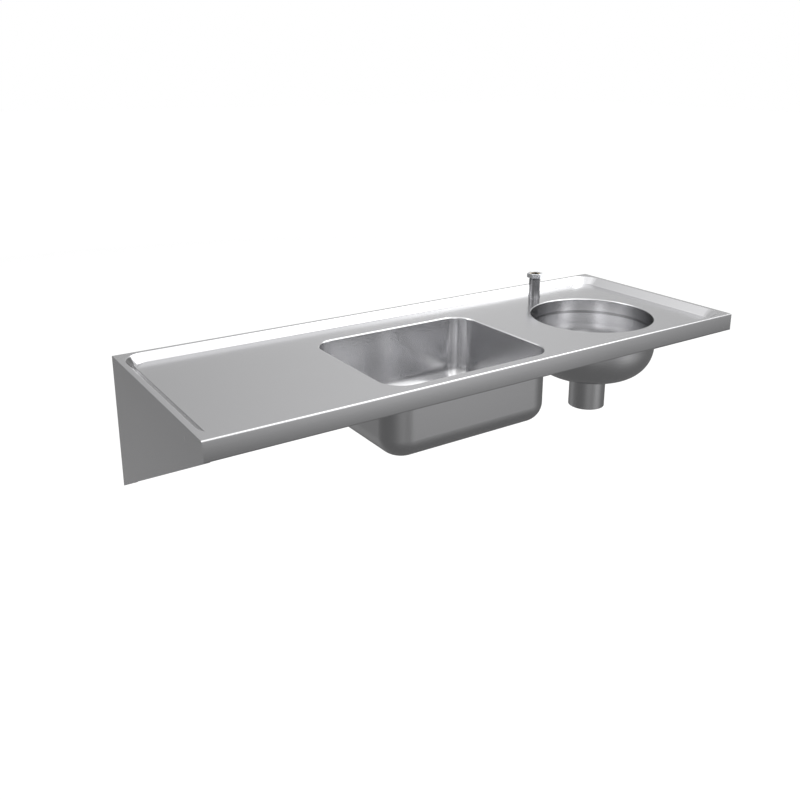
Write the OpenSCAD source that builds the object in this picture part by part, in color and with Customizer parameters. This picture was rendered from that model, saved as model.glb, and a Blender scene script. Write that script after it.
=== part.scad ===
// Wall-hung stainless sluice sink: a recessed worktop with a drainer, a rectangular basin and a round
// sluice bowl with a flushing rim. Millimetres. The origin is the centre of the four wall bolt holes,
// in the wall plane: +X runs along the worktop to the right, +Y into the wall and +Z up.

/* [Worktop] */
// Length of the worktop
top_l = 1600; // [1520:10:2000]
// Depth of the worktop from its front edge to the wall
top_d = 600; // [580:5:700]
// Thickness of the worktop sheet
sheet_t = 1.5; // [1:0.1:2]
// Width of the flat rim round the recess
rim_w = 13; // [8:1:20]
// Depth of the recess below the rim
recess_depth = 20; // [12:1:26]
// Run of the recess's sloping side, seen from above
slope_run = 22; // [14:1:26]
// Radius of the rim's inner corners, seen from above
rim_corner_r = 60; // [45:1:75]
// Bend radius where the rim turns down into the slope
rim_bend_r = 3; // [2:0.5:4]
// Bend radius where the slope meets the floor of the recess
floor_bend_r = 6; // [3:0.5:8]
// Height of the front apron
apron_h = 48; // [40:1:70]
// Outside bend radius of the worktop's front and rear edges
edge_r = 3.5; // [2.5:0.5:5]
// Width of the return folded in at the apron's foot
return_w = 14; // [8:1:20]
// Height of the fold that lies against the wall
rear_fold_h = 40; // [25:1:48]

/* [Basin] */
// Centre of the basin from the worktop's left end
basin_x = 724.5; // [700:0.5:740]
// Centre of the basin from the front edge
basin_y = 275.5; // [268:0.5:285]
// Length of the basin inside
basin_l = 495; // [440:1:520]
// Width of the basin inside, front to rear
basin_w = 400; // [360:1:405]
// Depth of the basin inside, below the floor of the recess
basin_depth = 195; // [150:1:250]
// Radius of the basin's upright corners inside
basin_corner_r = 63.5; // [58:0.5:80]
// Radius between the basin's walls and its floor inside
basin_floor_r = 52; // [30:1:55]
// Radius of the lip where the recess turns down into the basin
basin_lip_r = 4.5; // [3:0.5:6]
// Thickness of the basin sheet
basin_t = 1.2; // [1:0.1:2]

/* [Sluice bowl] */
// Axis of the bowl from the worktop's right end
bowl_from_right = 300; // [285:1:330]
// Axis of the bowl from the front edge
bowl_y = 268; // [262:1:280]
// Inside diameter of the bowl's mouth, which the flushing rim sets
mouth_d = 360; // [320:1:362]
// Radius of the lip where the recess turns down into the mouth
mouth_lip_r = 3.5; // [2.5:0.5:5]
// Height of the flushing rim below the lip
rim_drop = 32; // [26:1:40]
// Thickness of the flushing rim
rim_t = 1.5; // [1:0.1:2]
// Outside diameter of the bowl
bowl_d = 376.5; // [372:0.5:384]
// Thickness of the bowl sheet
bowl_t = 1.5; // [1:0.1:2]
// Height of the bowl's straight wall
bowl_wall_h = 81; // [75:1:100]
// Outside radius of the turn from the wall into the dished bottom
knuckle_r = 98; // [80:1:105]
// Outside radius of the dished bottom
dish_r = 378; // [300:1:450]
// Outside diameter of the outlet spigot
spigot_d = 108; // [90:1:125]
// Wall of the outlet spigot
spigot_t = 2; // [1.5:0.1:3]
// Length of the spigot below the bowl's lowest point
spigot_drop = 87; // [60:1:120]
// Step from the spigot in to the neck that is welded to the bowl
neck_step = 0.8; // [0.7:0.1:1.2]

/* [Flush inlet] */
// Sideways offset of the flush pipe from the bowl's axis
pipe_dx = -4; // [-20:1:20]
// Distance of the flush pipe behind the bowl's axis
pipe_dy = 251; // [244:1:256]
// Outside diameter of the flush pipe
pipe_d = 35; // [34:0.5:38]
// Wall of the flush pipe
pipe_t = 1.5; // [1.2:0.1:2]
// Height of the pipe's mouth above the floor of the recess
pipe_rise = 71.5; // [55:0.5:100]
// Length of the pipe below the worktop sheet
pipe_tail = 15; // [8:1:25]
// Width of the collar round the pipe's foot
collar_w = 1.5; // [1:0.5:4]
// Height of the collar
collar_h = 4; // [3:0.5:8]
// Width of the nut across its flats
nut_af = 44; // [42:0.5:50]
// Height of the nut
nut_h = 13.5; // [12:0.5:16]
// Thickness of the nut's top lip
nut_lip = 3; // [2:0.5:4]
// Reach of the nut's lip in over the pipe's mouth
nut_ledge = 1.1; // [1:0.1:1.4]
// Diameter of the flush pipe that the seal grips
feed_d = 28; // [24:0.5:28]
// Height of the flat seal flange that sits on the pipe's mouth
seal_flange_h = 0.9; // [0.6:0.1:1.5]
// Depth of the seal's cone inside the pipe
seal_depth = 7; // [5:0.5:10]
// Thickness of the slip ring under the nut's lip
slip_t = 1.5; // [1:0.1:2]
// Width of the duct that leads the water into the flushing rim
duct_w = 60; // [46:1:80]
// Height of the duct
duct_h = 40; // [30:1:50]
// Room behind the pipe inside the duct
duct_back = 6; // [4:1:10]
// Thickness of the duct sheet
duct_t = 1.5; // [1:0.1:2]
// Width of the slot in the bowl's wall that feeds the flushing rim
slot_w = 44; // [30:1:44]
// Height of that slot
slot_h = 20; // [12:1:22]

/* [Gables] */
// Height of a gable at the wall, from the top of the rim
gable_h = 348; // [320:1:400]
// Thickness of a gable
gable_t = 2; // [1.5:0.1:3]
// Width of the flange that is bolted to the wall
wall_flange_w = 34; // [30:1:50]
// Width of the flange folded in along the foot
foot_flange_w = 20; // [12:1:30]
// Diameter of the wall bolt holes
bolt_hole_d = 9; // [7:0.5:11]
// Drop from the top of the rim to the upper wall bolts
bolt_drop = 80; // [65:1:95]
// Distance between the upper and lower wall bolts
bolt_pitch = 230; // [180:1:230]

/* [Underframe] */
// Width of a stiffening channel
channel_w = 24; // [16:1:28]
// Height of a stiffening channel
channel_h = 18; // [12:1:22]
// Thickness of the channel sheet
channel_t = 1.5; // [1:0.1:2]
// Gap from a sound pad to the channels beside it
pad_gap = 10; // [6:1:14]
// Length of a sound pad under the drainer
pad_l = 300; // [200:5:340]
// Thickness of the sound pads
pad_t = 3; // [2:0.5:5]
// Length of the sound pad under the basin
floor_pad_l = 300; // [200:5:320]
// Width of the sound pad under the basin
floor_pad_w = 200; // [160:5:240]

/* [Basin waste] */
// Outside diameter of the waste's thread
waste_d = 47.8; // [40:0.1:50]
// Wall of the waste's thread
waste_t = 3; // [2:0.5:4]
// Length of the waste's tail below its back nut
tail_l = 28; // [20:1:40]
// Height of the groove between the back nut and the tail
groove_h = 2; // [1.5:0.5:4]
// Diameter of the waste's flange
waste_flange_d = 72; // [66:1:84]
// Thickness of the waste's flange
waste_flange_t = 3; // [2.5:0.5:4]
// Thickness of the two waste gaskets
gasket_t = 1.5; // [1:0.5:3]
// Width of the back nut across its flats
back_nut_af = 62; // [60:1:66]
// Height of the back nut
back_nut_h = 10; // [8:1:14]
// Diameter of the strainer plate
strainer_d = 50; // [46:1:54]
// Thickness of the strainer plate
strainer_t = 1.5; // [1:0.1:1.5]
// Diameter of the strainer's holes
strainer_hole_d = 5; // [3:0.5:5.5]
// Number of holes in the strainer's ring
strainer_holes = 10; // [6:1:12]
// Thread diameter of the strainer's screw
screw_d = 5; // [4:0.5:6]
// Head diameter of the strainer's screw
screw_head_d = 9; // [8:0.5:10]

/* [Earthing] */
// Thread diameter of the earth stud
stud_d = 6; // [5:0.5:8]
// Length of the earth stud
stud_l = 15; // [13:1:20]
// Thickness of the earth tag
tag_t = 1; // [0.8:0.1:1.5]
// Length of the earth tag beyond its ring
tag_l = 16; // [10:1:24]
// Distance of the stud from the wall
stud_from_wall = 70; // [55:1:120]
// Drop of the stud below the top of the rim
stud_drop = 150; // [120:1:180]

/* [Hidden] */

// Fineness of true circles
$fn = 96;

// Shared clearances: a cut's overrun, a sliding fit, a welded seam and a loose seat
cut = 1;
fit_gap = 0.05;
seam_gap = 0.05;
seat_gap = 0.3;

// Colours
satin = [0.72, 0.73, 0.74];
panel = [0.60, 0.61, 0.62];
bright = [0.85, 0.86, 0.88];
brassy = [0.80, 0.66, 0.36];
rubber = [0.13, 0.13, 0.14];
felt = [0.25, 0.25, 0.27];

// Levels, measured from the top of the rim, and plan places in the part's own frame
rim_z = bolt_drop + bolt_pitch / 2;
floor_z = -recess_depth;
under_z = floor_z - sheet_t;
floor_inset = rim_w + slope_run;
basin_c = [basin_x - top_l / 2, basin_y - top_d];
bowl_c = [top_l / 2 - bowl_from_right, bowl_y - top_d];
pipe_c = bowl_c + [pipe_dx, pipe_dy];
lead = sheet_t;
basin_open_l = basin_l + 2 * (basin_lip_r + lead);
basin_open_w = basin_w + 2 * (basin_lip_r + lead);
basin_top_z = floor_z - basin_lip_r - lead;
basin_floor_z = floor_z - basin_depth;
basin_foot_z = basin_floor_z - basin_t;
rim_top_z = floor_z - mouth_lip_r - lead;

// The bowl's outside profile: wall, knuckle and dish, all tangent
bowl_r = bowl_d / 2;
bowl_turn_z = under_z - bowl_wall_h;
dish_z = bowl_turn_z + sqrt(pow(dish_r - knuckle_r, 2) - pow(bowl_r - knuckle_r, 2));
dish_turn = atan2(bowl_turn_z - dish_z, bowl_r - knuckle_r);
bowl_foot_z = dish_z - dish_r;
spigot_r = spigot_d / 2;
spigot_foot_z = bowl_foot_z - spigot_drop;
neck_r = spigot_r - neck_step;

// Flush inlet
pipe_r = pipe_d / 2;
pipe_bore_r = pipe_r - pipe_t;
pipe_top_z = floor_z + pipe_rise;
feed_r = feed_d / 2;
slip_z = pipe_top_z + seal_flange_h + seat_gap;
nut_top_z = slip_z + slip_t + seat_gap + nut_lip;
nut_z = nut_top_z - nut_h;
nut_bore_r = pipe_r + fit_gap;
nut_hole_r = pipe_r - nut_ledge;
slip_bore_r = feed_r + seat_gap;
nut_turn = 30;
duct_y = pipe_dy + pipe_r + duct_back + duct_t;

// Underframe: the front and rear channels lie midway between what they pass
basin_front = basin_y - basin_open_w / 2;
basin_rear = basin_y + basin_open_w / 2;
basin_left = basin_x - basin_open_l / 2;
basin_right = basin_x + basin_open_l / 2;
bowl_x = top_l - bowl_from_right;
front_channel_y = (floor_inset + min(basin_front, bowl_y - bowl_r)) / 2;
rear_channel_y = (basin_rear + top_d - floor_inset) / 2;
cross_l = rear_channel_y - front_channel_y - channel_w;
drain_pitch_share = 1 / 4;
drain_pitch = (basin_left - floor_inset) * drain_pitch_share;
cross_x = [
    floor_inset + drain_pitch, floor_inset + 2 * drain_pitch, floor_inset + 3 * drain_pitch,
    (basin_right + bowl_x - bowl_r) / 2, (bowl_x + bowl_r + top_l - floor_inset) / 2
];

// Basin waste
waste_r = waste_d / 2;
waste_bore_r = waste_r - waste_t;
waste_flange_z = basin_floor_z + gasket_t;
waste_top_z = waste_flange_z + waste_flange_t;
strainer_z = waste_top_z - strainer_t;
bridge_w = 8;
bridge_h = 6;
bridge_z = strainer_z - bridge_h;
washer_z = basin_foot_z - gasket_t;
groove_z = washer_z - back_nut_h;
tail_z = groove_z - groove_h;
waste_foot_z = tail_z - tail_l;
groove_r = waste_r - groove_h / 2;
strainer_ring_r = strainer_d / 3;

// Earthing: the tag, washer and nut lie on the stud in turn
stud_r = stud_d / 2;
tag_r = stud_r * 2;
washer_r = stud_r * 2;
earth_washer_t = 1.6;
earth_nut_h = 5;
earth_nut_af = 10;

function unit(v) = v / norm(v);
function left_of(v) = [-v[1], v[0]];
function turned(a, b) = a[0] * b[1] - a[1] * b[0];
function heading(p, i) = unit(p[i + 1] - p[i]);

// The bend at point i of a path: its centre, start and end angles, way and the length it takes from each side
function bend(p, i, r) = let (
    u = -heading(p, i - 1), v = heading(p, i), half = acos(u * v) / 2,
    c = p[i] + unit(u + v) * r / sin(half), way = turned(-u, v) > 0 ? 1 : -1,
    s = p[i] + u * r / tan(half) - c, start = atan2(s[1], s[0]))
    [c, start, start + way * (180 - 2 * half), way, r / tan(half)];

// Level of the dish at radius r, on its surface offset inwards by d
function dish_level(r, d) = dish_z - sqrt(pow(dish_r - d, 2) - r * r);

// Part of a ring about the origin, from angle a to angle b
module ring_part(r_out, r_in, a, b) {
    intersection() {
        difference() {
            circle(r_out);
            circle(r_in);
        }
        polygon([[0, 0], 2 * r_out * [cos(a), sin(a)], 2 * r_out * [cos(b), sin(b)]]);
    }
}

// The section of a sheet of thickness t folded along a path, with the sheet to the path's left
module folded(p, radii, t) {
    last = len(p) - 1;
    bends = [for (i = [1 : last - 1]) bend(p, i, radii[i - 1])];
    for (i = [0 : last - 1]) {
        h = heading(p, i);
        a = p[i] + (i == 0 ? 0 : bends[i - 1][4]) * h;
        b = p[i + 1] - (i == last - 1 ? 0 : bends[i][4]) * h;
        polygon([a, b, b + t * left_of(h), a + t * left_of(h)]);
    }
    for (i = [0 : last - 2]) {
        k = bends[i];
        r = radii[i];
        translate(k[0]) ring_part(k[3] > 0 ? r : r + t, k[3] > 0 ? r - t : r, k[1], k[2]);
    }
}

module at_rim() {
    translate([0, 0, rim_z]) children();
}

// A rectangle with round corners, centred
module round_rect(l, w, r) {
    square([l - 2 * r, w], center = true);
    square([l, w - 2 * r], center = true);
    for (x = [-1, 1], y = [-1, 1]) translate([x * (l / 2 - r), y * (w / 2 - r)]) circle(r);
}

// Sweeps a section round a rounded rectangle whose corner centres are l by w apart
module swept(l, w) {
    for (k = [[1, 1, 0], [-1, 1, 90], [-1, -1, 180], [1, -1, 270]])
        translate([k[0] * l / 2, k[1] * w / 2, 0]) rotate([0, 0, k[2]]) rotate_extrude(angle = 90) children();
    for (s = [0, 180]) rotate([0, 0, s]) {
        translate([l / 2, w / 2, 0]) rotate([90, 0, 0]) linear_extrude(w) children();
        translate([-l / 2, w / 2, 0]) rotate([90, 0, 90]) linear_extrude(l) children();
    }
}

// A section drawn in depth and height, run along the worktop
module along(l) {
    translate([-l / 2, 0, 0]) rotate([90, 0, 90]) linear_extrude(l) children();
}

module tube(r_out, r_in, z0, z1) {
    rotate_extrude() translate([r_in, z0]) square([r_out - r_in, z1 - z0]);
}

module hex_prism(af, h) {
    cylinder(h = h, d = af / cos(30), $fn = 6);
}

module worktop_sheet() {
    front = [[2 * edge_r, 0], [0, 0], [0, -apron_h], [return_w, -apron_h]];
    rear = [[2 * edge_r, 0], [0, 0], [0, -rear_fold_h]];
    slope = [[rim_corner_r + rim_bend_r, 0], [rim_corner_r, 0], [rim_corner_r - slope_run, floor_z],
        [rim_corner_r - slope_run - floor_bend_r, floor_z]];
    basin_lip = [[basin_corner_r + basin_lip_r + lead, floor_z], [basin_corner_r, floor_z],
        [basin_corner_r, basin_top_z]];
    mouth_lip = [[mouth_d / 2 + mouth_lip_r + lead, floor_z], [mouth_d / 2, floor_z],
        [mouth_d / 2, rim_top_z]];
    rim_run = rim_w - rim_bend_r;
    floor_run = floor_inset + floor_bend_r;
    translate([0, 0, -sheet_t]) linear_extrude(sheet_t) difference() {
        translate([-top_l / 2, 2 * edge_r - top_d]) square([top_l, top_d - 4 * edge_r]);
        translate([0, -top_d / 2])
            round_rect(top_l - 2 * rim_run, top_d - 2 * rim_run, rim_corner_r + rim_bend_r);
    }
    translate([0, 0, under_z]) linear_extrude(sheet_t) difference() {
        translate([0, -top_d / 2]) round_rect(top_l - 2 * floor_run, top_d - 2 * floor_run,
            rim_corner_r - slope_run - floor_bend_r);
        translate(basin_c) round_rect(basin_open_l, basin_open_w, basin_corner_r + basin_lip_r + lead);
        translate(bowl_c) circle(mouth_d / 2 + mouth_lip_r + lead, $fn = 180);
        translate(pipe_c) circle(pipe_r + seam_gap);
    }
    translate([0, -top_d / 2, 0])
        swept(top_l - 2 * (rim_w + rim_corner_r), top_d - 2 * (rim_w + rim_corner_r))
            folded(slope, [rim_bend_r, floor_bend_r], sheet_t);
    translate([basin_c[0], basin_c[1], 0])
        swept(basin_l - 2 * basin_corner_r, basin_w - 2 * basin_corner_r)
            folded(basin_lip, [basin_lip_r], sheet_t);
    translate([bowl_c[0], bowl_c[1], 0]) rotate_extrude($fn = 180)
        folded(mouth_lip, [mouth_lip_r], sheet_t);
    translate([0, -top_d, 0]) along(top_l) folded(front, [edge_r, 2 * sheet_t], sheet_t);
    mirror([0, 1, 0]) along(top_l) folded(rear, [edge_r], sheet_t);
}

// The folds stop at the gables, which show their edges at the corners
module worktop() color(satin) at_rim() difference() {
    worktop_sheet();
    for (s = [0, 1]) mirror([s, 0, 0])
        translate([top_l / 2 - gable_t, -top_d - cut, -apron_h - gable_h])
            cube([gable_t + cut, top_d + 2 * cut, apron_h + gable_h - edge_r]);
}

// A gable's outline in depth from the front edge and height
function foot_level(y) = -apron_h - (gable_h - apron_h) * y / top_d;
function foot_lift() = gable_t / cos(atan2(gable_h - apron_h, top_d));

module gable() {
    flange_y = return_w + seat_gap;
    flange_z = -rear_fold_h - seat_gap;
    outline = [[0, -edge_r], [edge_r, -edge_r], [edge_r, -sheet_t], [top_d - edge_r, -sheet_t],
        [top_d - edge_r, -edge_r], [top_d, -edge_r], [top_d, -gable_h], [0, -apron_h]];
    foot = [[flange_y, foot_level(flange_y)], [top_d, -gable_h], [top_d, -gable_h + foot_lift()],
        [flange_y, foot_level(flange_y) + foot_lift()]];
    translate([0, -top_d, 0]) rotate([90, 0, 90]) linear_extrude(gable_t) polygon(outline);
    translate([0, -top_d, 0]) rotate([90, 0, 90]) linear_extrude(foot_flange_w) polygon(foot);
    difference() {
        translate([0, -gable_t, -gable_h]) cube([wall_flange_w, gable_t, gable_h + flange_z]);
        for (z = [-bolt_drop, -bolt_drop - bolt_pitch])
            translate([bolt_inset, cut, z]) rotate([90, 0, 0]) cylinder(h = gable_t + 2 * cut, d = bolt_hole_d);
    }
}
bolt_inset = (wall_flange_w + gable_t) / 2;

module left_gable() color(panel) at_rim() translate([-top_l / 2, 0, 0]) gable();

module right_gable() color(panel) at_rim() mirror([1, 0, 0]) translate([-top_l / 2, 0, 0]) gable();

module basin() color(satin) at_rim() translate([basin_c[0], basin_c[1], 0]) {
    wall = [[basin_corner_r, basin_top_z], [basin_corner_r, basin_floor_z], [0, basin_floor_z]];
    core_l = basin_l - 2 * basin_corner_r;
    core_w = basin_w - 2 * basin_corner_r;
    swept(core_l, core_w) folded(wall, [basin_floor_r], basin_t);
    difference() {
        translate([-core_l / 2, -core_w / 2, basin_foot_z]) cube([core_l, core_w, basin_t]);
        translate([0, 0, basin_foot_z - cut]) cylinder(h = basin_t + 2 * cut, r = waste_r + seat_gap);
    }
}

module bowl_wall() color(satin) at_rim() translate([bowl_c[0], bowl_c[1], 0]) difference() {
    tube(bowl_r, bowl_r - bowl_t, bowl_turn_z, under_z, $fn = 180);
    translate([pipe_dx - slot_w / 2, bowl_r - 2 * bowl_t - cut, rim_top_z - cut - slot_h])
        cube([slot_w, 3 * bowl_t + cut, slot_h]);
}

// Half of what the dish's surface encloses, offset inwards by d
module dish_shape(d) {
    knuckle = [bowl_r - knuckle_r, bowl_turn_z];
    intersection() {
        translate(knuckle) circle(knuckle_r - d);
        translate([0, bowl_foot_z]) square([bowl_r, bowl_turn_z + d - bowl_foot_z]);
    }
    intersection() {
        translate([0, dish_z]) circle(dish_r - d);
        polygon([[0, bowl_turn_z + d], [knuckle[0], bowl_turn_z + d], knuckle,
            knuckle + knuckle_r * [cos(dish_turn), sin(dish_turn)],
            [knuckle[0], bowl_foot_z - cut], [0, bowl_foot_z - cut]]);
    }
}

module bowl_dish() color(satin) at_rim() translate([bowl_c[0], bowl_c[1], 0]) rotate_extrude($fn = 180)
    difference() {
        dish_shape(0);
        dish_shape(bowl_t);
        translate([0, bowl_foot_z - cut]) square([neck_r + seam_gap, knuckle_r]);
    }

module flushing_rim() color(satin) at_rim() translate([bowl_c[0], bowl_c[1], 0])
    tube(mouth_d / 2 + rim_t, mouth_d / 2, rim_top_z - rim_drop, rim_top_z, $fn = 180);

module outlet_spigot() color(satin) at_rim() translate([bowl_c[0], bowl_c[1], 0]) {
    tube(spigot_r, spigot_r - spigot_t, spigot_foot_z, bowl_foot_z);
    tube(neck_r, spigot_r - spigot_t, bowl_foot_z, dish_level(neck_r, bowl_t));
}

// A folded box, closed above by the worktop and in front by the bowl
module flush_duct() color(satin) at_rim() translate([bowl_c[0], bowl_c[1], under_z - duct_h]) difference() {
    translate([pipe_dx - duct_w / 2, 0, 0]) cube([duct_w, duct_y, duct_h]);
    translate([pipe_dx - duct_w / 2 + duct_t, -cut, duct_t])
        cube([duct_w - 2 * duct_t, duct_y - duct_t + cut, duct_h]);
    translate([0, 0, -cut]) cylinder(h = duct_h + 2 * cut, r = bowl_r + seam_gap, $fn = 180);
}

module at_pipe() {
    at_rim() translate([pipe_c[0], pipe_c[1], 0]) children();
}

module flush_pipe() color(satin) at_pipe() tube(pipe_r, pipe_bore_r, under_z - pipe_tail, pipe_top_z);

module pipe_collar() color(bright) at_pipe() translate([0, 0, floor_z]) rotate_extrude()
    polygon([[pipe_r + fit_gap, 0], [pipe_r + fit_gap + collar_w, 0],
        [pipe_r + fit_gap + collar_w, collar_h / 2], [pipe_r + fit_gap + collar_w / 2, collar_h],
        [pipe_r + fit_gap, collar_h]]);

module cone_seal() color(rubber) at_pipe() translate([0, 0, pipe_top_z]) rotate_extrude()
    polygon([[feed_r + fit_gap, -seal_depth], [pipe_bore_r - 2 * seat_gap, -seal_depth],
        [pipe_bore_r - fit_gap, -seat_gap], [pipe_bore_r - fit_gap, 0], [pipe_r - seat_gap, 0],
        [pipe_r - seat_gap, seal_flange_h], [feed_r + fit_gap, seal_flange_h]]);

module slip_ring() color(brassy) at_pipe() tube(pipe_r - seat_gap, slip_bore_r, slip_z, slip_z + slip_t);

module gland_nut() color(bright) at_pipe() translate([0, 0, nut_z]) difference() {
    rotate([0, 0, nut_turn]) hex_prism(nut_af, nut_h);
    translate([0, 0, -cut]) cylinder(h = nut_h - nut_lip + cut, r = nut_bore_r);
    cylinder(h = nut_h + cut, r = nut_hole_r);
}

// A channel open upwards, its legs against the worktop, running along X from a to b
module channel(l) {
    translate([0, -channel_w / 2, -channel_h]) difference() {
        cube([l, channel_w, channel_h]);
        translate([-cut, channel_t, channel_t]) cube([l + 2 * cut, channel_w - 2 * channel_t, channel_h]);
    }
}

module long_channel(x0, x1, y) {
    color(panel) at_rim() translate([x0 - top_l / 2, y - top_d, under_z]) channel(x1 - x0);
}

module cross_channel(x) {
    color(panel) at_rim()
        translate([x - top_l / 2, front_channel_y + channel_w / 2 - top_d, under_z])
            rotate([0, 0, 90]) channel(cross_l);
}

module front_channel() long_channel(gable_t, top_l - gable_t, front_channel_y);

module rear_channel_left() long_channel(gable_t, bowl_x + pipe_dx - duct_w / 2, rear_channel_y);

module rear_channel_right() long_channel(bowl_x + pipe_dx + duct_w / 2, top_l - gable_t, rear_channel_y);

module drainer_pad(k) {
    mid = (cross_x[k] + cross_x[k + 1]) / 2;
    w = drain_pitch - channel_w - 2 * pad_gap;
    color(felt) at_rim() translate([mid - top_l / 2 - w / 2,
        (front_channel_y + rear_channel_y) / 2 - top_d - pad_l / 2, under_z - pad_t]) cube([w, pad_l, pad_t]);
}

module basin_pad() color(felt) at_basin() translate([0, 0, basin_foot_z - pad_t]) difference() {
    translate([-floor_pad_l / 2, -floor_pad_w / 2, 0]) cube([floor_pad_l, floor_pad_w, pad_t]);
    translate([0, 0, -cut]) cylinder(h = pad_t + 2 * cut, r = back_nut_af / 2 + waste_t + pad_gap);
}

module at_basin() {
    at_rim() translate([basin_c[0], basin_c[1], 0]) children();
}

// The waste: a flanged threaded tube with a bridge across it that takes the strainer's screw
module waste_body() color(bright) at_basin() difference() {
    union() {
        rotate_extrude() polygon([[waste_bore_r, waste_foot_z], [waste_r, waste_foot_z],
            [waste_r, tail_z], [groove_r, tail_z], [groove_r, groove_z], [waste_r, groove_z],
            [waste_r, waste_flange_z], [waste_flange_d / 2, waste_flange_z],
            [waste_flange_d / 2, waste_flange_z + waste_flange_t / 2],
            [waste_flange_d / 2 - waste_flange_t / 2, waste_top_z],
            [strainer_d / 2 + seat_gap, waste_top_z], [strainer_d / 2 + seat_gap, strainer_z],
            [waste_bore_r, strainer_z]]);
        translate([-waste_bore_r - waste_t / 2, -bridge_w / 2, bridge_z])
            cube([2 * waste_bore_r + waste_t, bridge_w, bridge_h]);
    }
    translate([0, 0, bridge_z - cut]) cylinder(h = bridge_h + 2 * cut, r = screw_d / 2 + fit_gap);
}

module waste_gasket() color(rubber) at_basin()
    tube(waste_flange_d / 2 - seat_gap, waste_r + seat_gap, basin_floor_z, basin_floor_z + gasket_t);

module waste_washer() color(rubber) at_basin()
    tube(back_nut_af / 2, waste_r + seat_gap, washer_z, washer_z + gasket_t);

module waste_back_nut() color(brassy) at_basin() translate([0, 0, washer_z - back_nut_h]) difference() {
    hex_prism(back_nut_af, back_nut_h);
    translate([0, 0, -cut]) cylinder(h = back_nut_h + 2 * cut, r = waste_r + fit_gap);
}

module strainer_plate() color(bright) at_basin() translate([0, 0, strainer_z]) difference() {
    cylinder(h = strainer_t, d = strainer_d);
    translate([0, 0, -cut]) cylinder(h = strainer_t + 2 * cut, r = screw_d / 2 + seat_gap);
    for (k = [1 : strainer_holes]) rotate([0, 0, 360 * k / strainer_holes])
        translate([strainer_ring_r, 0, -cut]) cylinder(h = strainer_t + 2 * cut, d = strainer_hole_d, $fn = 24);
}

module strainer_screw() color(bright) at_basin() rotate_extrude($fn = 48)
    polygon([[0, bridge_z], [screw_d / 2, bridge_z], [screw_d / 2, waste_top_z],
        [screw_head_d / 2, waste_top_z], [screw_head_d / 2 - screw_d / 4, waste_top_z + screw_d / 2],
        [0, waste_top_z + screw_d / 2]]);

// Earth terminal on the inside of the left gable, its axis along X
module at_stud() {
    at_rim() translate([gable_t - top_l / 2, -stud_from_wall, -stud_drop]) rotate([0, 90, 0]) children();
}

module earth_stud() color(brassy) at_stud() cylinder(h = stud_l, r = stud_r, $fn = 36);

module earth_tag() color(bright) at_stud() difference() {
    union() {
        cylinder(h = tag_t, r = tag_r);
        translate([0, -tag_r / 2, 0]) cube([tag_r + tag_l, tag_r, tag_t]);
    }
    translate([0, 0, -cut]) cylinder(h = tag_t + 2 * cut, r = stud_r + fit_gap);
}

module earth_washer() color(bright) at_stud()
    tube(washer_r, stud_r + fit_gap, tag_t, tag_t + earth_washer_t, $fn = 48);

module earth_nut() color(bright) at_stud() translate([0, 0, tag_t + earth_washer_t]) difference() {
    hex_prism(earth_nut_af, earth_nut_h);
    translate([0, 0, -cut]) cylinder(h = earth_nut_h + 2 * cut, r = stud_r + fit_gap);
}

worktop();
left_gable();
right_gable();
basin();
bowl_wall();
bowl_dish();
flushing_rim();
outlet_spigot();
flush_duct();
flush_pipe();
pipe_collar();
cone_seal();
slip_ring();
gland_nut();
front_channel();
rear_channel_left();
rear_channel_right();
cross_channel(cross_x[0]);  // cross_channel_1
cross_channel(cross_x[1]);  // cross_channel_2
cross_channel(cross_x[2]);  // cross_channel_3
cross_channel(cross_x[3]);  // cross_channel_4
cross_channel(cross_x[4]);  // cross_channel_5
drainer_pad(0);  // drainer_pad_1
drainer_pad(1);  // drainer_pad_2
basin_pad();
waste_body();
waste_gasket();
waste_washer();
waste_back_nut();
strainer_plate();
strainer_screw();
earth_stud();
earth_tag();
earth_washer();
earth_nut();
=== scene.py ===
"""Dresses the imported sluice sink, adds its fine metalwork, and sets it in a plain studio.

Lengths are in metres. Angles are in degrees as fields, and in radians where a function takes them.
"""

import logging
import math
from collections.abc import Callable, Sequence
from dataclasses import dataclass
from enum import Enum

import bmesh
import bpy
from mathutils import Matrix, Vector

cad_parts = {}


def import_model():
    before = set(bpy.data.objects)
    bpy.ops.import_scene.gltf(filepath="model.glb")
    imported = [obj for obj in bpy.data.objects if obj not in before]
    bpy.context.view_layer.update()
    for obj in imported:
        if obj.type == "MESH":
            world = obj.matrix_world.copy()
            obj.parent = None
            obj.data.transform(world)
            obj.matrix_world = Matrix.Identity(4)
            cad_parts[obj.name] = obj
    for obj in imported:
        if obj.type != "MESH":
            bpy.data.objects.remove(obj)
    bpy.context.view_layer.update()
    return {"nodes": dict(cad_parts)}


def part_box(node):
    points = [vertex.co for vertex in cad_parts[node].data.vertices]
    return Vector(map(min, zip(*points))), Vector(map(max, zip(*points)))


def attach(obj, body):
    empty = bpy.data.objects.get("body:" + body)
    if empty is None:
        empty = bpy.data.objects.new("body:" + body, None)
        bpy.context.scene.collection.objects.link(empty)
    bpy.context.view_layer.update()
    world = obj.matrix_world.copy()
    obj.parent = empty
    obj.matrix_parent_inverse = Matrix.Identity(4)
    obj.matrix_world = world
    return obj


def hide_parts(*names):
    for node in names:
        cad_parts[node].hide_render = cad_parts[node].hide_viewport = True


LOG = logging.getLogger("sluice_sink")
FULL_TURN = 2.0 * math.pi
# Vertices nearer to each other than this are one
MERGE = 0.000002
# How far a ring is lifted while it is joined to its neighbour
LIFT = 0.25
# Faces that meet at more than this keep a sharp edge
SHARP_ANGLE = math.radians(25.0)
# Edges in a plain turned circle
ROUND_SEGMENTS = 96
# Turn from one flat of a hexagon to the next
HEX_TURN = 60.0
# Running clearance between a nut's bore and its thread
THREAD_GAP = 0.00005
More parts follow.
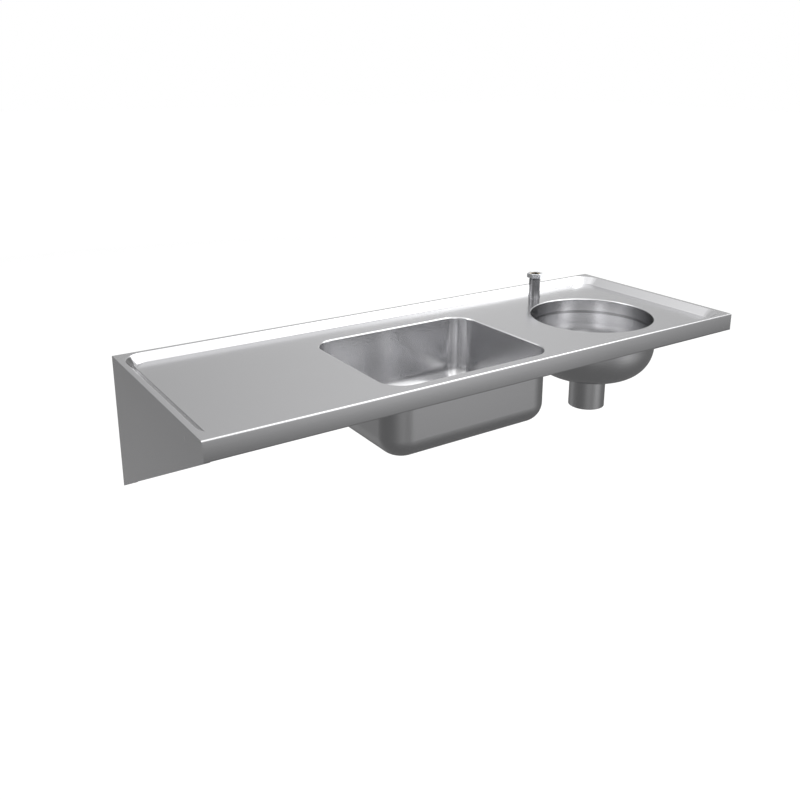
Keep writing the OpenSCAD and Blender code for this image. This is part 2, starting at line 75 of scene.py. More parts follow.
# Keeps a division by a sine or cosine finite
TINY = 0.001

Spot = tuple[float, float, float]
Place = tuple[float, float]
Span = tuple[float, float]
Loop = list[bmesh.types.BMEdge]
Shape = bmesh.types.BMesh
Tree = bpy.types.NodeTree
Socket = bpy.types.NodeSocket


class Body(Enum):
    """The bodies of the frame that the new pieces ride on."""

    SINK = "sink"
    GLAND_NUT = "gland_nut"


class Slot(Enum):
    """The record's material slot names listed for the new pieces, which the script passes on but does not
    apply.
    """

    BOWL = "bowl_steel"
    PIPE = "pipe_steel"
    CHROME = "bright_chrome"
    BRASS = "brass"
    PAD = "sound_pad"


class Grain(Enum):
    """Which way a finish's polishing lines run, as the scale of its noise along X, Y and Z."""

    ALONG = (5.0, 330.0, 330.0)
    UPRIGHT = (300.0, 300.0, 4.0)
    ROUND = (60.0, 60.0, 700.0)
    EVEN = (160.0, 160.0, 160.0)


class Sheen(Enum):
    """How a polished surface smears its reflections: the tangent's axis and the quarter turns from it."""

    UPRIGHT = ("Z", 0.25)
    AROUND = ("Z", 0.0)


def new_group(name: str, inputs: Sequence[tuple[str, str]],
              outputs: Sequence[tuple[str, str]]) -> Tree:
    """Starts a shader node group.

    Args:
        name: What the group is called.
        inputs: Name and socket kind of each input.
        outputs: Name and socket kind of each output.

    Returns:
        The group, with its input node named in and its output node named out.
    """
    group = bpy.data.node_groups.new(name, "ShaderNodeTree")
    for way, sockets in (("INPUT", inputs), ("OUTPUT", outputs)):
        for label, kind in sockets:
            group.interface.new_socket(label, in_out=way, socket_type="NodeSocket" + kind)
    group.nodes.new("NodeGroupInput").name = "in"
    group.nodes.new("NodeGroupOutput").name = "out"
    return group


def maths(tree: Tree, kind: str, *values: float | Socket) -> Socket:
    """Adds one Math node.

    Args:
        tree: The node tree it goes into.
        kind: The node's operation.
        values: Its inputs, each a number or another node's output.

    Returns:
        The node's output.
    """
    node = tree.nodes.new("ShaderNodeMath")
    node.operation = kind
    for socket, value in zip(node.inputs, values):
        if isinstance(value, Socket):
            tree.links.new(value, socket)
        else:
            socket.default_value = value
    return node.outputs[0]


def noise(tree: Tree, place: Socket, scale: float, detail: float) -> Socket:
    """Adds a noise texture.

    Args:
        tree: The node tree it goes into.
        place: The coordinates that it reads.
        scale: How fine it is.
        detail: How many finer layers it has.

    Returns:
        Its value, from 0 to 1.
    """
    node = tree.nodes.new("ShaderNodeTexNoise")
    node.inputs["Scale"].default_value, node.inputs["Detail"].default_value = scale, detail
    tree.links.new(place, node.inputs["Vector"])
    return node.outputs["Fac"]


def rise(tree: Tree, value: Socket, start: float, end: float) -> Socket:
    """Adds an even rise from 0 to 1.

    Args:
        tree: The node tree it goes into.
        value: What is compared.
        start: Where the rise begins.
        end: Where it ends.

    Returns:
        0 before the start, 1 past the end.
    """
    node = tree.nodes.new("ShaderNodeMapRange")
    node.inputs["From Min"].default_value, node.inputs["From Max"].default_value = start, end
    tree.links.new(value, node.inputs["Value"])
    return node.outputs["Result"]


def scaled(tree: Tree, colour: Socket | Spot, amount: Socket) -> Socket:
    """Multiplies a colour.

    Args:
        tree: The node tree.
        colour: The colour.
        amount: What it is multiplied by.

    Returns:
        The new colour.
    """
    node = tree.nodes.new("ShaderNodeVectorMath")
    node.operation = "SCALE"
    if isinstance(colour, Socket):
        tree.links.new(colour, node.inputs[0])
    else:
        node.inputs[0].default_value = colour
    tree.links.new(amount, node.inputs["Scale"])
    return node.outputs["Vector"]


def polished_group(line_detail: float = 3.0, cloud_scale: float = 7.0, cloud_detail: float = 4.0) -> Tree:
    """Builds once the group that turns a place on the metal into its polishing grain.

    Args:
        line_detail: How many finer layers the polishing lines have.
        cloud_scale: How fine the broad clouds are.
        cloud_detail: How many finer layers the clouds have.

    Returns:
        A node group whose outputs are the grained colour, roughness and height.
    """
    known = bpy.data.node_groups.get("polished_metal")
    if known:
        return known
    group = new_group(
        "polished_metal",
        (("Place", "Vector"), ("Stretch", "Vector"), ("Colour", "Color"), ("Roughness", "Float"),
         ("Grain", "Float"), ("Clouds", "Float")),
        (("Colour", "Color"), ("Roughness", "Float"), ("Height", "Float")))
    nodes, link = group.nodes, group.links.new
    inside, outside = nodes["in"].outputs, nodes["out"].inputs
    stretch = nodes.new("ShaderNodeVectorMath")
    stretch.operation = "MULTIPLY"
    link(inside["Place"], stretch.inputs[0])
    link(inside["Stretch"], stretch.inputs[1])
    lines = noise(group, stretch.outputs["Vector"], 1.0, line_detail)
    clouds = noise(group, inside["Place"], cloud_scale, cloud_detail)
    fine = maths(group, "MULTIPLY", maths(group, "SUBTRACT", lines, 0.5), inside["Grain"])
    broad = maths(group, "MULTIPLY", maths(group, "SUBTRACT", clouds, 0.5), inside["Clouds"])
    swing = maths(group, "ADD", fine, broad)
    link(maths(group, "SUBTRACT", inside["Roughness"], swing), outside["Roughness"])
    link(scaled(group, inside["Colour"], maths(group, "ADD", swing, 1.0)), outside["Colour"])
    link(lines, outside["Height"])
    return group


@dataclass(frozen=True)
class PaintedShade:
    """Painted shade: a box within which a finish's colour is darkened to stand in for shade or a dark
    reflection.
    """

    low: Spot
    high: Spot
    edge: float
    shade: float

    def over(self, tree: Tree, place: Socket, colour: Socket) -> Socket:
        """Darkens a colour within the box.

        Args:
            tree: The material's node tree.
            place: Object coordinates.
            colour: The colour to darken.

        Returns:
            The colour with the painted shade darkened in.
        """
        # Painted shade: the colour is multiplied down inside the box
        split = tree.nodes.new("ShaderNodeSeparateXYZ")
        tree.links.new(place, split.inputs[0])
        within: float | Socket = 1.0
        for axis, low, high in zip("XYZ", self.low, self.high):
            above = rise(tree, split.outputs[axis], low - self.edge, low + self.edge)
            below = rise(tree, split.outputs[axis], high + self.edge, high - self.edge)
            within = maths(tree, "MULTIPLY", maths(tree, "MULTIPLY", above, below), within)
        return scaled(tree, colour, maths(tree, "MULTIPLY_ADD", within, self.shade - 1.0, 1.0))


@dataclass(frozen=True)
class Bow:
    """A slight outward bow of a folded sheet's front, shown by its shading alone."""

    front: float
    top: float
    middle: float
    curve: float

    def over(self, tree: Tree, place: Socket, normal: Socket) -> Socket:
        """Bows the shading of the front.

        Args:
            tree: The material's node tree.
            place: Object coordinates.
            normal: The normal to start from.

        Returns:
            The bowed normal.
        """
        split = tree.nodes.new("ShaderNodeSeparateXYZ")
        tree.links.new(place, split.inputs[0])
        off = maths(tree, "SUBTRACT", split.outputs["Z"], self.middle)
        fall = maths(tree, "MULTIPLY", maths(tree, "MULTIPLY", off, off), -self.curve)
        ahead = maths(tree, "LESS_THAN", split.outputs["Y"], self.front)
        under = maths(tree, "LESS_THAN", split.outputs["Z"], self.top)
        bump = tree.nodes.new("ShaderNodeBump")
        bump.inputs["Distance"].default_value = 1.0
        within = maths(tree, "MULTIPLY", ahead, under)
        tree.links.new(maths(tree, "MULTIPLY", fall, within), bump.inputs["Height"])
        tree.links.new(normal, bump.inputs["Normal"])
        return bump.outputs["Normal"]


@dataclass(frozen=True)
class Metal:
    """A bare metal finish: its colour, how polished it is and how strongly its grain shows."""

    name: str
    colour: Spot
    roughness: float
    grain: Grain
    sheen: Sheen | None = None
    smear: float = 0.0
    grain_height: float = 0.00001
    grain_strength: float = 0.5
    grain_spread: float = 0.06
    cloud_spread: float = 0.05
    # Painted shade darkened into the colour within a box, if any
    painted_shade: PaintedShade | None = None
    bow: Bow | None = None

    def build(self) -> bpy.types.Material:
        """Makes the material once.

        Returns:
            A metal whose colour, roughness and bump vary with the polishing grain, with any painted shade
            darkened into its colour.
        """
        known = bpy.data.materials.get(self.name)
        if known:
            return known
        made = bpy.data.materials.new(self.name)
        made.use_nodes = True
        tree = made.node_tree
        link = tree.links.new
        shader = tree.nodes["Principled BSDF"]
        shader.inputs["Metallic"].default_value = 1.0
        place = tree.nodes.new("ShaderNodeTexCoord").outputs["Object"]
        grain = tree.nodes.new("ShaderNodeGroup")
        grain.node_tree = polished_group()
        grain.inputs["Colour"].default_value = (*self.colour, 1.0)
        grain.inputs["Roughness"].default_value = self.roughness
        grain.inputs["Stretch"].default_value = self.grain.value
        grain.inputs["Grain"].default_value = self.grain_spread
        grain.inputs["Clouds"].default_value = self.cloud_spread
        link(place, grain.inputs["Place"])
        colour = grain.outputs["Colour"]
        # Painted shade: darkens the colour within the box
        if self.painted_shade:
            colour = self.painted_shade.over(tree, place, colour)
        bump = tree.nodes.new("ShaderNodeBump")
        bump.inputs["Distance"].default_value = self.grain_height
        bump.inputs["Strength"].default_value = self.grain_strength
        link(colour, shader.inputs["Base Color"])
        link(grain.outputs["Roughness"], shader.inputs["Roughness"])
        link(grain.outputs["Height"], bump.inputs["Height"])
        normal = bump.outputs["Normal"]
        if self.bow:
            normal = self.bow.over(tree, place, normal)
        link(normal, shader.inputs["Normal"])
        if self.sheen:
            axis, turn = self.sheen.value
            tangent = tree.nodes.new("ShaderNodeTangent")
            tangent.direction_type, tangent.axis = "RADIAL", axis
            link(tangent.outputs["Tangent"], shader.inputs["Tangent"])
            shader.inputs["Anisotropic"].default_value = self.smear
            shader.inputs["Anisotropic Rotation"].default_value = turn
        return made


@dataclass(frozen=True)
class Dull:
    """A dull finish without metal, such as moulded rubber or a pressed pad."""

    name: str
    colour: Spot
    roughness: float
    pebble: float
    pebble_height: float
    cloud_ratio: float = 20.0
    mottle: float = 0.5
    roughness_swing: float = 0.1

    def build(self) -> bpy.types.Material:
        """Makes the material once.

        Returns:
            A dull material with a pebbled surface and cloudy colour.
        """
        known = bpy.data.materials.get(self.name)
        if known:
            return known
        made = bpy.data.materials.new(self.name)
        made.use_nodes = True
        tree = made.node_tree
        link = tree.links.new
        shader = tree.nodes["Principled BSDF"]
        place = tree.nodes.new("ShaderNodeTexCoord").outputs["Object"]
        pebbles = noise(tree, place, self.pebble, 3.0)
        clouds = noise(tree, place, self.pebble / self.cloud_ratio, 2.0)
        cloudy = maths(tree, "MULTIPLY_ADD", clouds, self.mottle, 1.0 - self.mottle)
        shade = maths(tree, "MULTIPLY_ADD", pebbles, self.mottle, cloudy)
        link(scaled(tree, self.colour, shade), shader.inputs["Base Color"])
        smoothest = self.roughness - self.roughness_swing / 2.0
        roughness = maths(tree, "MULTIPLY_ADD", pebbles, self.roughness_swing, smoothest)
        link(roughness, shader.inputs["Roughness"])
        bump = tree.nodes.new("ShaderNodeBump")
        bump.inputs["Distance"].default_value = self.pebble_height
        link(pebbles, bump.inputs["Height"])
        link(bump.outputs["Normal"], shader.inputs["Normal"])
        return made


Finish = Metal | Dull

STEEL = (0.56, 0.56, 0.57)
# Painted shade: the recess's left slope is darkened in colour to stand in for the dark line that shade and
# reflection give it from the front
LEFT_SLOPE_SHADE = PaintedShade(low=(-0.7862, -0.56, 0.1), high=(-0.7625, -0.02, 0.1935), edge=0.001, shade=0.3)
# Painted shadow: the darker band round the lower part of the bowl's wall, just under the flushing rim's
# skirt, stands in for the shade that the skirt casts there
BOWL_SKIRT_SHADOW = PaintedShade(low=(0.0, -1.0, 0.1270), high=(1.0, 0.0, 0.1372), edge=0.0008, shade=0.6)
APRON_BOW = Bow(front=-0.5985, top=0.1925, middle=0.1695, curve=2.2)

# The deck's finish carries the painted shade on the recess's left slope
DECK = Metal("satin_deck", (0.58, 0.58, 0.59), 0.18, Grain.ALONG, grain_height=0.000004, grain_spread=0.02,
             cloud_spread=0.03, painted_shade=LEFT_SLOPE_SHADE, bow=APRON_BOW)
GABLE = Metal("satin_gable", STEEL, 0.26, Grain.UPRIGHT, Sheen.UPRIGHT, 0.5, grain_height=0.000004,
              grain_spread=0.02)
SPUN = Metal("spun_bowl", STEEL, 0.22, Grain.ROUND, Sheen.UPRIGHT, 0.7, grain_spread=0.03)
# This finish carries the painted shadow band under the flushing rim
SPUN_WALL = Metal("spun_wall", STEEL, 0.22, Grain.ROUND, Sheen.UPRIGHT, 0.7, grain_spread=0.03,
                  painted_shade=BOWL_SKIRT_SHADOW)
DRAWN = Metal("drawn_basin", STEEL, 0.22, Grain.UPRIGHT, Sheen.UPRIGHT, 0.7, grain_spread=0.03)
MILL = Metal("mill_sheet", (0.42, 0.42, 0.43), 0.38, Grain.ALONG, cloud_spread=0.12)
# Painted shade: the pipe's colour is darker than the other steel to stand in for the darker reflections it
# shows
PIPE = Metal("drawn_pipe_shaded", (0.28, 0.28, 0.29), 0.22, Grain.UPRIGHT, Sheen.UPRIGHT, 0.6, grain_spread=0.02)
WELD = Metal("weld_metal", (0.30, 0.28, 0.26), 0.42, Grain.EVEN, grain_height=0.00008, cloud_spread=0.3)
CHROME = Metal("bright_chrome_plate", (0.86, 0.87, 0.89), 0.16, Grain.EVEN, grain_height=0.000001,
               grain_spread=0.02)
TURNED = Metal("turned_brass", (0.74, 0.58, 0.30), 0.28, Grain.ROUND, Sheen.AROUND, 0.4)
RUBBER = Dull("black_rubber_moulded", (0.022, 0.022, 0.023), 0.6, 900.0, 0.00005)
PAD = Dull("pressed_sound_pad", (0.045, 0.045, 0.05), 0.85, 420.0, 0.0004)


def put(bm: Shape, name: str, finish: Finish, slot: Slot, body: Body, *replaced: str) -> bpy.types.Object:
    """Turns a finished bmesh into a piece of the sink.

    Args:
        bm: The piece's shape, in the row frame; it is freed.
        name: What the piece is called.
        finish: The finish it gets.
        slot: Not used.
        body: The body it rides on.
        replaced: CAD nodes it stands for.

    Returns:
        The piece.
    """
    bmesh.ops.remove_doubles(bm, verts=bm.verts, dist=MERGE)
    bmesh.ops.recalc_face_normals(bm, faces=bm.faces)
    mesh = bpy.data.meshes.new(name)
    bm.to_mesh(mesh)
    bm.free()
    mesh.shade_smooth()
    mesh.set_sharp_from_angle(angle=SHARP_ANGLE)
    mesh.materials.append(finish.build())
    piece = bpy.data.objects.new(name, mesh)
    bpy.context.scene.collection.objects.link(piece)
    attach(piece, body.value)
    if replaced:
        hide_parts(*replaced)
    LOG.info("piece %s: %d faces, in place of %s", name, len(mesh.polygons), ", ".join(replaced) or "nothing")
    return piece


def chain(bm: Shape, outline: Sequence[Place]) -> list[bmesh.types.BMVert | bmesh.types.BMEdge]:
    """Draws an outline in the XZ plane.

    Args:
        bm: Where it is drawn.
        outline: Its points, as radius and height.

    Returns:
        Its vertices and edges.
    """
    spots = [bm.verts.new((r, 0.0, z)) for r, z in outline]
    return spots + [bm.edges.new(pair) for pair in zip(spots, spots[1:])]


def ring(bm: Shape, reach: Callable[[float], Place], segments: int = ROUND_SEGMENTS) -> Loop:
    """Draws one closed ring round the Z axis.

    Args:
        bm: Where it is drawn.
        reach: Gives the radius and height at an angle in radians.
        segments: Number of its edges.

    Returns:
        Its edges.
    """
    made = bmesh.ops.create_circle(bm, cap_ends=False, radius=1.0, segments=segments)["verts"]
    for vert in made:
        angle = math.atan2(vert.co.y, vert.co.x)
        radius, height = reach(angle)
        vert.co = (radius * math.cos(angle), radius * math.sin(angle), height)
    return list({e for v in made for e in v.link_edges})


def circles(bm: Shape, outline: Sequence[Place], segments: int = ROUND_SEGMENTS) -> list[Loop]:
    """Draws plain level circles.

    Args:
        bm: Where they are drawn.
        outline: Radius and height of each.
        segments: Number of edges in each.

    Returns:
        Their edges, in order.
    """
    return [ring(bm, lambda angle, spot=spot: spot, segments) for spot in outline]


def loft(bm: Shape, rings: Sequence[Loop], closed: bool = False) -> None:
    """Joins rings one to the next, each lifted while it is joined, so that level neighbours aren't twisted.

    Args:
        bm: Where they are.
        rings: Their edges, in order.
        closed: Whether the last is joined to the first.
    """
    pairs = list(zip(rings, rings[1:]))
    if closed:
        pairs.append((rings[-1], rings[0]))
    for one, other in pairs:
        verts = list({v for e in other for v in e.verts})
        bmesh.ops.translate(bm, verts=verts, vec=(0, 0, LIFT))
        bmesh.ops.bridge_loops(bm, edges=one + other)
        bmesh.ops.translate(bm, verts=verts, vec=(0, 0, -LIFT))


@dataclass(frozen=True)
class Hexagon:
    """A hexagonal nut with chamfered corners round the Z axis, standing from low to high."""

    flats: float
    low: float
    high: float
    flat_at: float
    crown: float = 1.08
    slope: float = 30.0
    edge: float = 0.0004

    def reach(self, angle: float) -> float:
        """Gives the hexagon's radius at an angle in radians."""
        off = (math.degrees(angle) - self.flat_at + HEX_TURN / 2.0) % HEX_TURN - HEX_TURN / 2.0
        return self.flats / 2.0 / math.cos(math.radians(off))

    def face(self, angle: float) -> float:
        """Gives the end face's radius, which the chamfer keeps within a circle."""
        return min(self.flats / 2.0 * self.crown, self.reach(angle) - self.edge)

    def fall(self, angle: float) -> float:
        """Gives how far the chamfer has come down at the hexagon's edge."""
        return (self.reach(angle) - self.face(angle)) * math.tan(math.radians(self.slope))

    def build(self, bore: Sequence[Place], segments: int = ROUND_SEGMENTS) -> Shape:
        """Makes the nut.

        Args:
            bore: Radius and height of the bore's circles, from the top down.
            segments: Number of edges in each ring.

        Returns:
            The nut's shape.
        """
        bm = bmesh.new()
        outside = [
            ring(bm, lambda a: (self.face(a), self.low), segments),
            ring(bm, lambda a: (self.reach(a), self.low + self.fall(a)), segments),
            ring(bm, lambda a: (self.reach(a), self.high - self.fall(a)), segments),
            ring(bm, lambda a: (self.face(a), self.high), segments),
        ]
        loft(bm, outside + circles(bm, bore, segments), closed=True)
        return bm

    def plain_bore(self, radius: float, edge: float) -> list[Place]:
        """Gives a straight bore with broken edges.

        Args:
            radius: The bore's radius.
            edge: How far its edges are broken.

        Returns:
            Radius and height of its circles, from the top down.
        """
        return [(radius + edge, self.high), (radius, self.high - edge), (radius, self.low + edge),
                (radius + edge, self.low)]


@dataclass(frozen=True)
class Thread:
    """A right-hand thread cut into a round bar or tube about the Z axis."""

    crest: float
    pitch: float
    low: float
    high: float
    depth_share: float = 0.45
    steps: int = 36

    @property
    def root(self) -> float:
        """Radius at the bottom of the thread."""
        return self.crest - self.pitch * self.depth_share

    def wind(self, bm: Shape) -> tuple[Loop, Loop]:
        """Winds the thread's surface and cuts it level at both ends.

        Args:
            bm: Where it is wound.

        Returns:
            The edges round its lower and upper end.
        """
        before = set(bm.verts)
        # Two spare turns, so that the level cuts at the ends meet whole threads
        turns = math.ceil((self.high - self.low) / self.pitch) + 2
        start = self.low - self.pitch * 1.5
        shares = ((0.0, 0.0), (0.4, 1.0), (0.5, 1.0), (0.9, 0.0), (1.0, 0.0))
        depth = self.crest - self.root
        outline = [(self.root + depth * out, start + up * self.pitch) for up, out in shares]
        bmesh.ops.spin(bm, geom=chain(bm, outline), cent=(0, 0, 0), axis=(0, 0, 1), angle=FULL_TURN * turns,
                       steps=self.steps * turns, dvec=(0, 0, self.pitch / self.steps))
        bmesh.ops.remove_doubles(bm, verts=[v for v in bm.verts if v not in before], dist=MERGE)
        for level, normal in ((self.low, (0, 0, -1)), (self.high, (0, 0, 1))):
            verts = [v for v in bm.verts if v not in before]
            edges = list({e for v in verts for e in v.link_edges})
            faces = list({f for v in verts for f in v.link_faces})
            bmesh.ops.bisect_plane(bm, geom=verts + edges + faces, dist=MERGE, plane_co=(0, 0, level),
                                   plane_no=normal, clear_outer=True)
        rim = {e for v in bm.verts if v not in before for e in v.link_edges if e.is_boundary}
        middle = (self.low + self.high) / 2.0
        return [e for e in rim if e.verts[0].co.z < middle], [e for e in rim if e.verts[0].co.z > middle]


@dataclass
class SubAssembly:
    """A named group of the sink's pieces, dressed and finished together."""

    nodes: dict[str, bpy.types.Object]

    def dress(self, finish: Finish, *names: str) -> None:
        """Gives CAD nodes their finish.

        Args:
            finish: The finish.
            names: The nodes.
        """
        for name in names:
            for slot in self.nodes[name].material_slots:
                slot.material = finish.build()
            LOG.info("node %s: %s", name, finish.name)

    def middle(self, name: str) -> Matrix:
        """Gives the move from the origin to a node's upright axis."""
        low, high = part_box(name)
        return Matrix.Translation(((low[0] + high[0]) / 2.0, (low[1] + high[1]) / 2.0, 0.0))


@dataclass
class Worktop(SubAssembly):
    """The folded worktop sheet and the two gables that carry it."""

    def build(self) -> None:
        """Dresses the sheet and the gables."""
        # The deck's finish paints shade on the recess's left slope
        self.dress(DECK, "worktop")
        self.dress(GABLE, "left_gable", "right_gable")


@dataclass
class Basin(SubAssembly):
    """The drawn basin."""

    def build(self) -> None:
        """Dresses the basin."""
        self.dress(DRAWN, "basin")


@dataclass
class SluiceBowl(SubAssembly):
    """The spun bowl with its flushing rim, outlet spigot and duct."""

    bead_r: float = 0.0019
    bead_sides: int = 10
    bead_ripples: int = 150
    ripple_steps: int = 3
    bead_lift: float = 0.0003

    def build(self) -> None:
        """Dresses the bowl and lays the weld that joins the spigot to it."""
        # The wall's finish paints the skirt's shadow as a darker band
        self.dress(SPUN_WALL, "bowl_wall")
        self.dress(SPUN, "bowl_dish", "flushing_rim", "outlet_spigot")
        self.dress(MILL, "flush_duct")
        self.weld()

    def weld(self) -> bpy.types.Object:
        """Lays the rippled weld bead round the top of the spigot.

        Returns:
            The bead.
        """
        low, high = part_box("outlet_spigot")
        spigot_r = (high[0] - low[0]) / 2.0
        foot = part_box("bowl_dish")[0][2]
        bm = bmesh.new()
        circle = bmesh.ops.create_circle(bm, cap_ends=False, radius=self.bead_r, segments=self.bead_sides)
        made = circle["verts"]
        bmesh.ops.rotate(bm, verts=made, cent=(0, 0, 0), matrix=Matrix.Rotation(math.pi / 2.0, 3, "X"))
        bmesh.ops.translate(bm, verts=made, vec=(spigot_r, 0, foot + self.bead_r))
        bmesh.ops.spin(bm, geom=list(bm.verts) + list(bm.edges), cent=(0, 0, 0), axis=(0, 0, 1),
                       angle=FULL_TURN, steps=self.bead_ripples * self.ripple_steps, use_merge=True)
        for vert in bm.verts:
            ripple = math.cos(math.atan2(vert.co.y, vert.co.x) * self.bead_ripples)
            swell = 1.0 + self.bead_lift / spigot_r * ripple
            vert.co.x, vert.co.y = vert.co.x * swell, vert.co.y * swell
        bm.transform(self.middle("outlet_spigot"))
        return put(bm, "spigot_weld", WELD, Slot.BOWL, Body.SINK)


@dataclass
class FlushInlet(SubAssembly):
    """The stub pipe with its thread, and the gland nut, slip ring and seal on it."""

    pitch: float = 0.002
    thread_length: float = 0.0115
    wall: float = 0.0015
    mouth_chamfer: float = 0.0005
    flats: float = 0.044
    nut_lip: float = 0.003
    nut_hole_r: float = 0.0164
    nut_bore_r: float = 0.01755
    nut_bevel: float = 0.0006

    def build(self) -> None:
        """Builds the threaded pipe and the nut, and dresses the rest."""
        self.dress(PIPE, "pipe_collar")
        self.dress(RUBBER, "cone_seal")
        self.dress(TURNED, "slip_ring")
        self.pipe()
        self.nut()

    def pipe(self) -> bpy.types.Object:
        """Makes the stub pipe with a thread below its mouth.

        Returns:
            The pipe.
        """
        low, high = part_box("flush_pipe")
        radius, foot, top = (high[0] - low[0]) / 2.0, low[2], high[2]
        bore = radius - self.wall
        bm = bmesh.new()
        thread = Thread(radius, self.pitch, top - self.thread_length, top - self.mouth_chamfer)
        lower, upper = thread.wind(bm)
        relief = thread.low - self.pitch / 2.0
        outline = [(thread.root, relief), (radius, relief - self.mouth_chamfer), (radius, foot), (bore, foot),
                   (bore, top), (thread.root, top)]
        loft(bm, [lower, *circles(bm, outline), upper])
        bm.transform(self.middle("flush_pipe"))
        return put(bm, "flush_pipe_threaded", PIPE, Slot.PIPE, Body.SINK, "flush_pipe")

    def nut(self) -> bpy.types.Object:
        """Makes the gland nut with chamfered corners and a lip over the pipe's mouth.

        Returns:
            The nut.
        """
        low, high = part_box("gland_nut")
        lip = high[2] - self.nut_lip
        shape = Hexagon(self.flats, low[2], high[2], flat_at=0.0)
        bm = shape.build([
            (self.nut_hole_r + self.nut_bevel, shape.high), (self.nut_hole_r, shape.high - self.nut_bevel),
            (self.nut_hole_r, lip), (self.nut_bore_r, lip), (self.nut_bore_r, shape.low + self.nut_bevel),
            (self.nut_bore_r + self.nut_bevel, shape.low)])
        bm.transform(self.middle("gland_nut"))
        return put(bm, "gland_nut_chamfered", CHROME, Slot.CHROME, Body.GLAND_NUT, "gland_nut")


@dataclass
class BasinWaste(SubAssembly):
    """The basin's waste fitting, with its strainer, gaskets and back nut."""

    crest: float = 0.0239
    pitch: float = 0.002
    wall: float = 0.003
    flange_t: float = 0.003
    seat_gap: float = 0.0003
    edge: float = 0.0006
    groove_h: float = 0.002
    tail_l: float = 0.028
    bridge_w: float = 0.008
    bridge_h: float = 0.006
    screw_r: float = 0.0025
    head_r: float = 0.0045
    slot_w: float = 0.0012
    slot_depth: float = 0.0014
    slot_edge_share: float = 0.5
    slot_foot_share: float = 0.48
    turned_steps: int = 48
    back_flats: float = 0.062

    def build(self) -> None:
        """Builds the fitting's finer pieces and dresses the rest."""
        self.dress(CHROME, "strainer_plate")
        self.dress(RUBBER, "waste_gasket", "waste_washer")
        self.body()
        self.screw()
        self.back_nut()

    def body(self) -> bpy.types.Object:
        """Makes the flanged body, threaded outside, with the bridge across it that takes the screw.

        Returns:
            The body.
        """
        low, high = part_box("waste_body")
        plate_low, plate_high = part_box("strainer_plate")
        flange_r, foot, top = (high[0] - low[0]) / 2.0, low[2], high[2]
        flange_z, seat, bore = top - self.flange_t, plate_low[2], self.crest - self.wall
        seat_r = (plate_high[0] - plate_low[0]) / 2.0 + self.seat_gap
        groove = (foot + self.tail_l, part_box("waste_back_nut")[0][2])
        groove_r = self.crest - self.groove_h / 2.0
        bm = bmesh.new()
        tail_low, tail_high = Thread(self.crest, self.pitch, foot, groove[0]).wind(bm)
        barrel = Thread(self.crest, self.pitch, groove[1], flange_z - self.edge)
        barrel_low, barrel_high = barrel.wind(bm)
        loft(bm, [tail_high, *circles(bm, [(groove_r, z) for z in groove]), barrel_low])
        outline = [
            (barrel.root, flange_z), (flange_r, flange_z), (flange_r, top - self.flange_t / 2.0),
            (flange_r - self.flange_t / 2.0, top), (seat_r, top), (seat_r, seat), (bore, seat), (bore, foot),
        ]
        loft(bm, [barrel_high, *circles(bm, outline), tail_low])
        self.bridge(bm, seat)
        bm.transform(self.middle("waste_body"))
        return put(bm, "waste_body_threaded", CHROME, Slot.CHROME, Body.SINK, "waste_body")

    def bridge(self, bm: Shape, seat: float) -> None:
        """Adds the bar across the bore, with the screw's hole through it.

        Args:
            bm: The body's bmesh.
            seat: Level of the bar's top.
        """
        half_l, half_w = self.crest - self.wall / 2.0, self.bridge_w / 2.0

        def bar(angle: float) -> float:
            """Gives how far the bar reaches at an angle."""
            return min(half_w / max(abs(math.sin(angle)), TINY), half_l / max(abs(math.cos(angle)), TINY))

        foot = seat - self.bridge_h
        hole_top, hole_foot = circles(bm, [(self.screw_r, seat), (self.screw_r, foot)])
        bar_top, bar_foot = ring(bm, lambda a: (bar(a), seat)), ring(bm, lambda a: (bar(a), foot))
        loft(bm, [hole_top, bar_top, bar_foot, hole_foot], closed=True)

    def screw(self) -> bpy.types.Object:
        """Makes the strainer's screw with a slot across its head.

        Returns:
            The screw.
        """
        low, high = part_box("strainer_screw")
        foot, top = low[2], high[2]
        under = top - self.screw_r
        outline = [(0.0, foot), (self.screw_r - self.edge, foot), (self.screw_r, foot + self.edge),
                   (self.screw_r, under), (self.head_r, under), (self.head_r, under + self.edge),
                   (self.head_r - self.screw_r / 2.0, top), (0.0, top)]
        bm = bmesh.new()
        bmesh.ops.spin(bm, geom=chain(bm, outline), cent=(0, 0, 0), axis=(0, 0, 1), angle=FULL_TURN,
                       steps=self.turned_steps, use_merge=True)
        bmesh.ops.remove_doubles(bm, verts=bm.verts, dist=MERGE)
        edge, floor = self.slot_edge_share, self.slot_foot_share
        for share in (-edge, -floor, floor, edge):
            whole = list(bm.verts) + list(bm.edges) + list(bm.faces)
            bmesh.ops.bisect_plane(bm, geom=whole, plane_co=(0, share * self.slot_w, 0), plane_no=(0, 1, 0))
        for vert in bm.verts:
            if abs(vert.co.y) < self.slot_w * (edge + floor) / 2.0 and vert.co.z > top - self.slot_depth:
                vert.co.z = top - self.slot_depth
        bm.transform(self.middle("strainer_screw"))
        return put(bm, "strainer_screw_slotted", CHROME, Slot.CHROME, Body.SINK, "strainer_screw")

    def back_nut(self) -> bpy.types.Object:
        """Makes the back nut with chamfered corners.

        Returns:
            The nut.
        """
        low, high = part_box("waste_back_nut")
        shape = Hexagon(self.back_flats, low[2], high[2], flat_at=30.0)
        bm = shape.build(shape.plain_bore(self.crest + THREAD_GAP, self.edge))
        bm.transform(self.middle("waste_back_nut"))
        return put(bm, "waste_back_nut_chamfered", TURNED, Slot.BRASS, Body.SINK, "waste_back_nut")


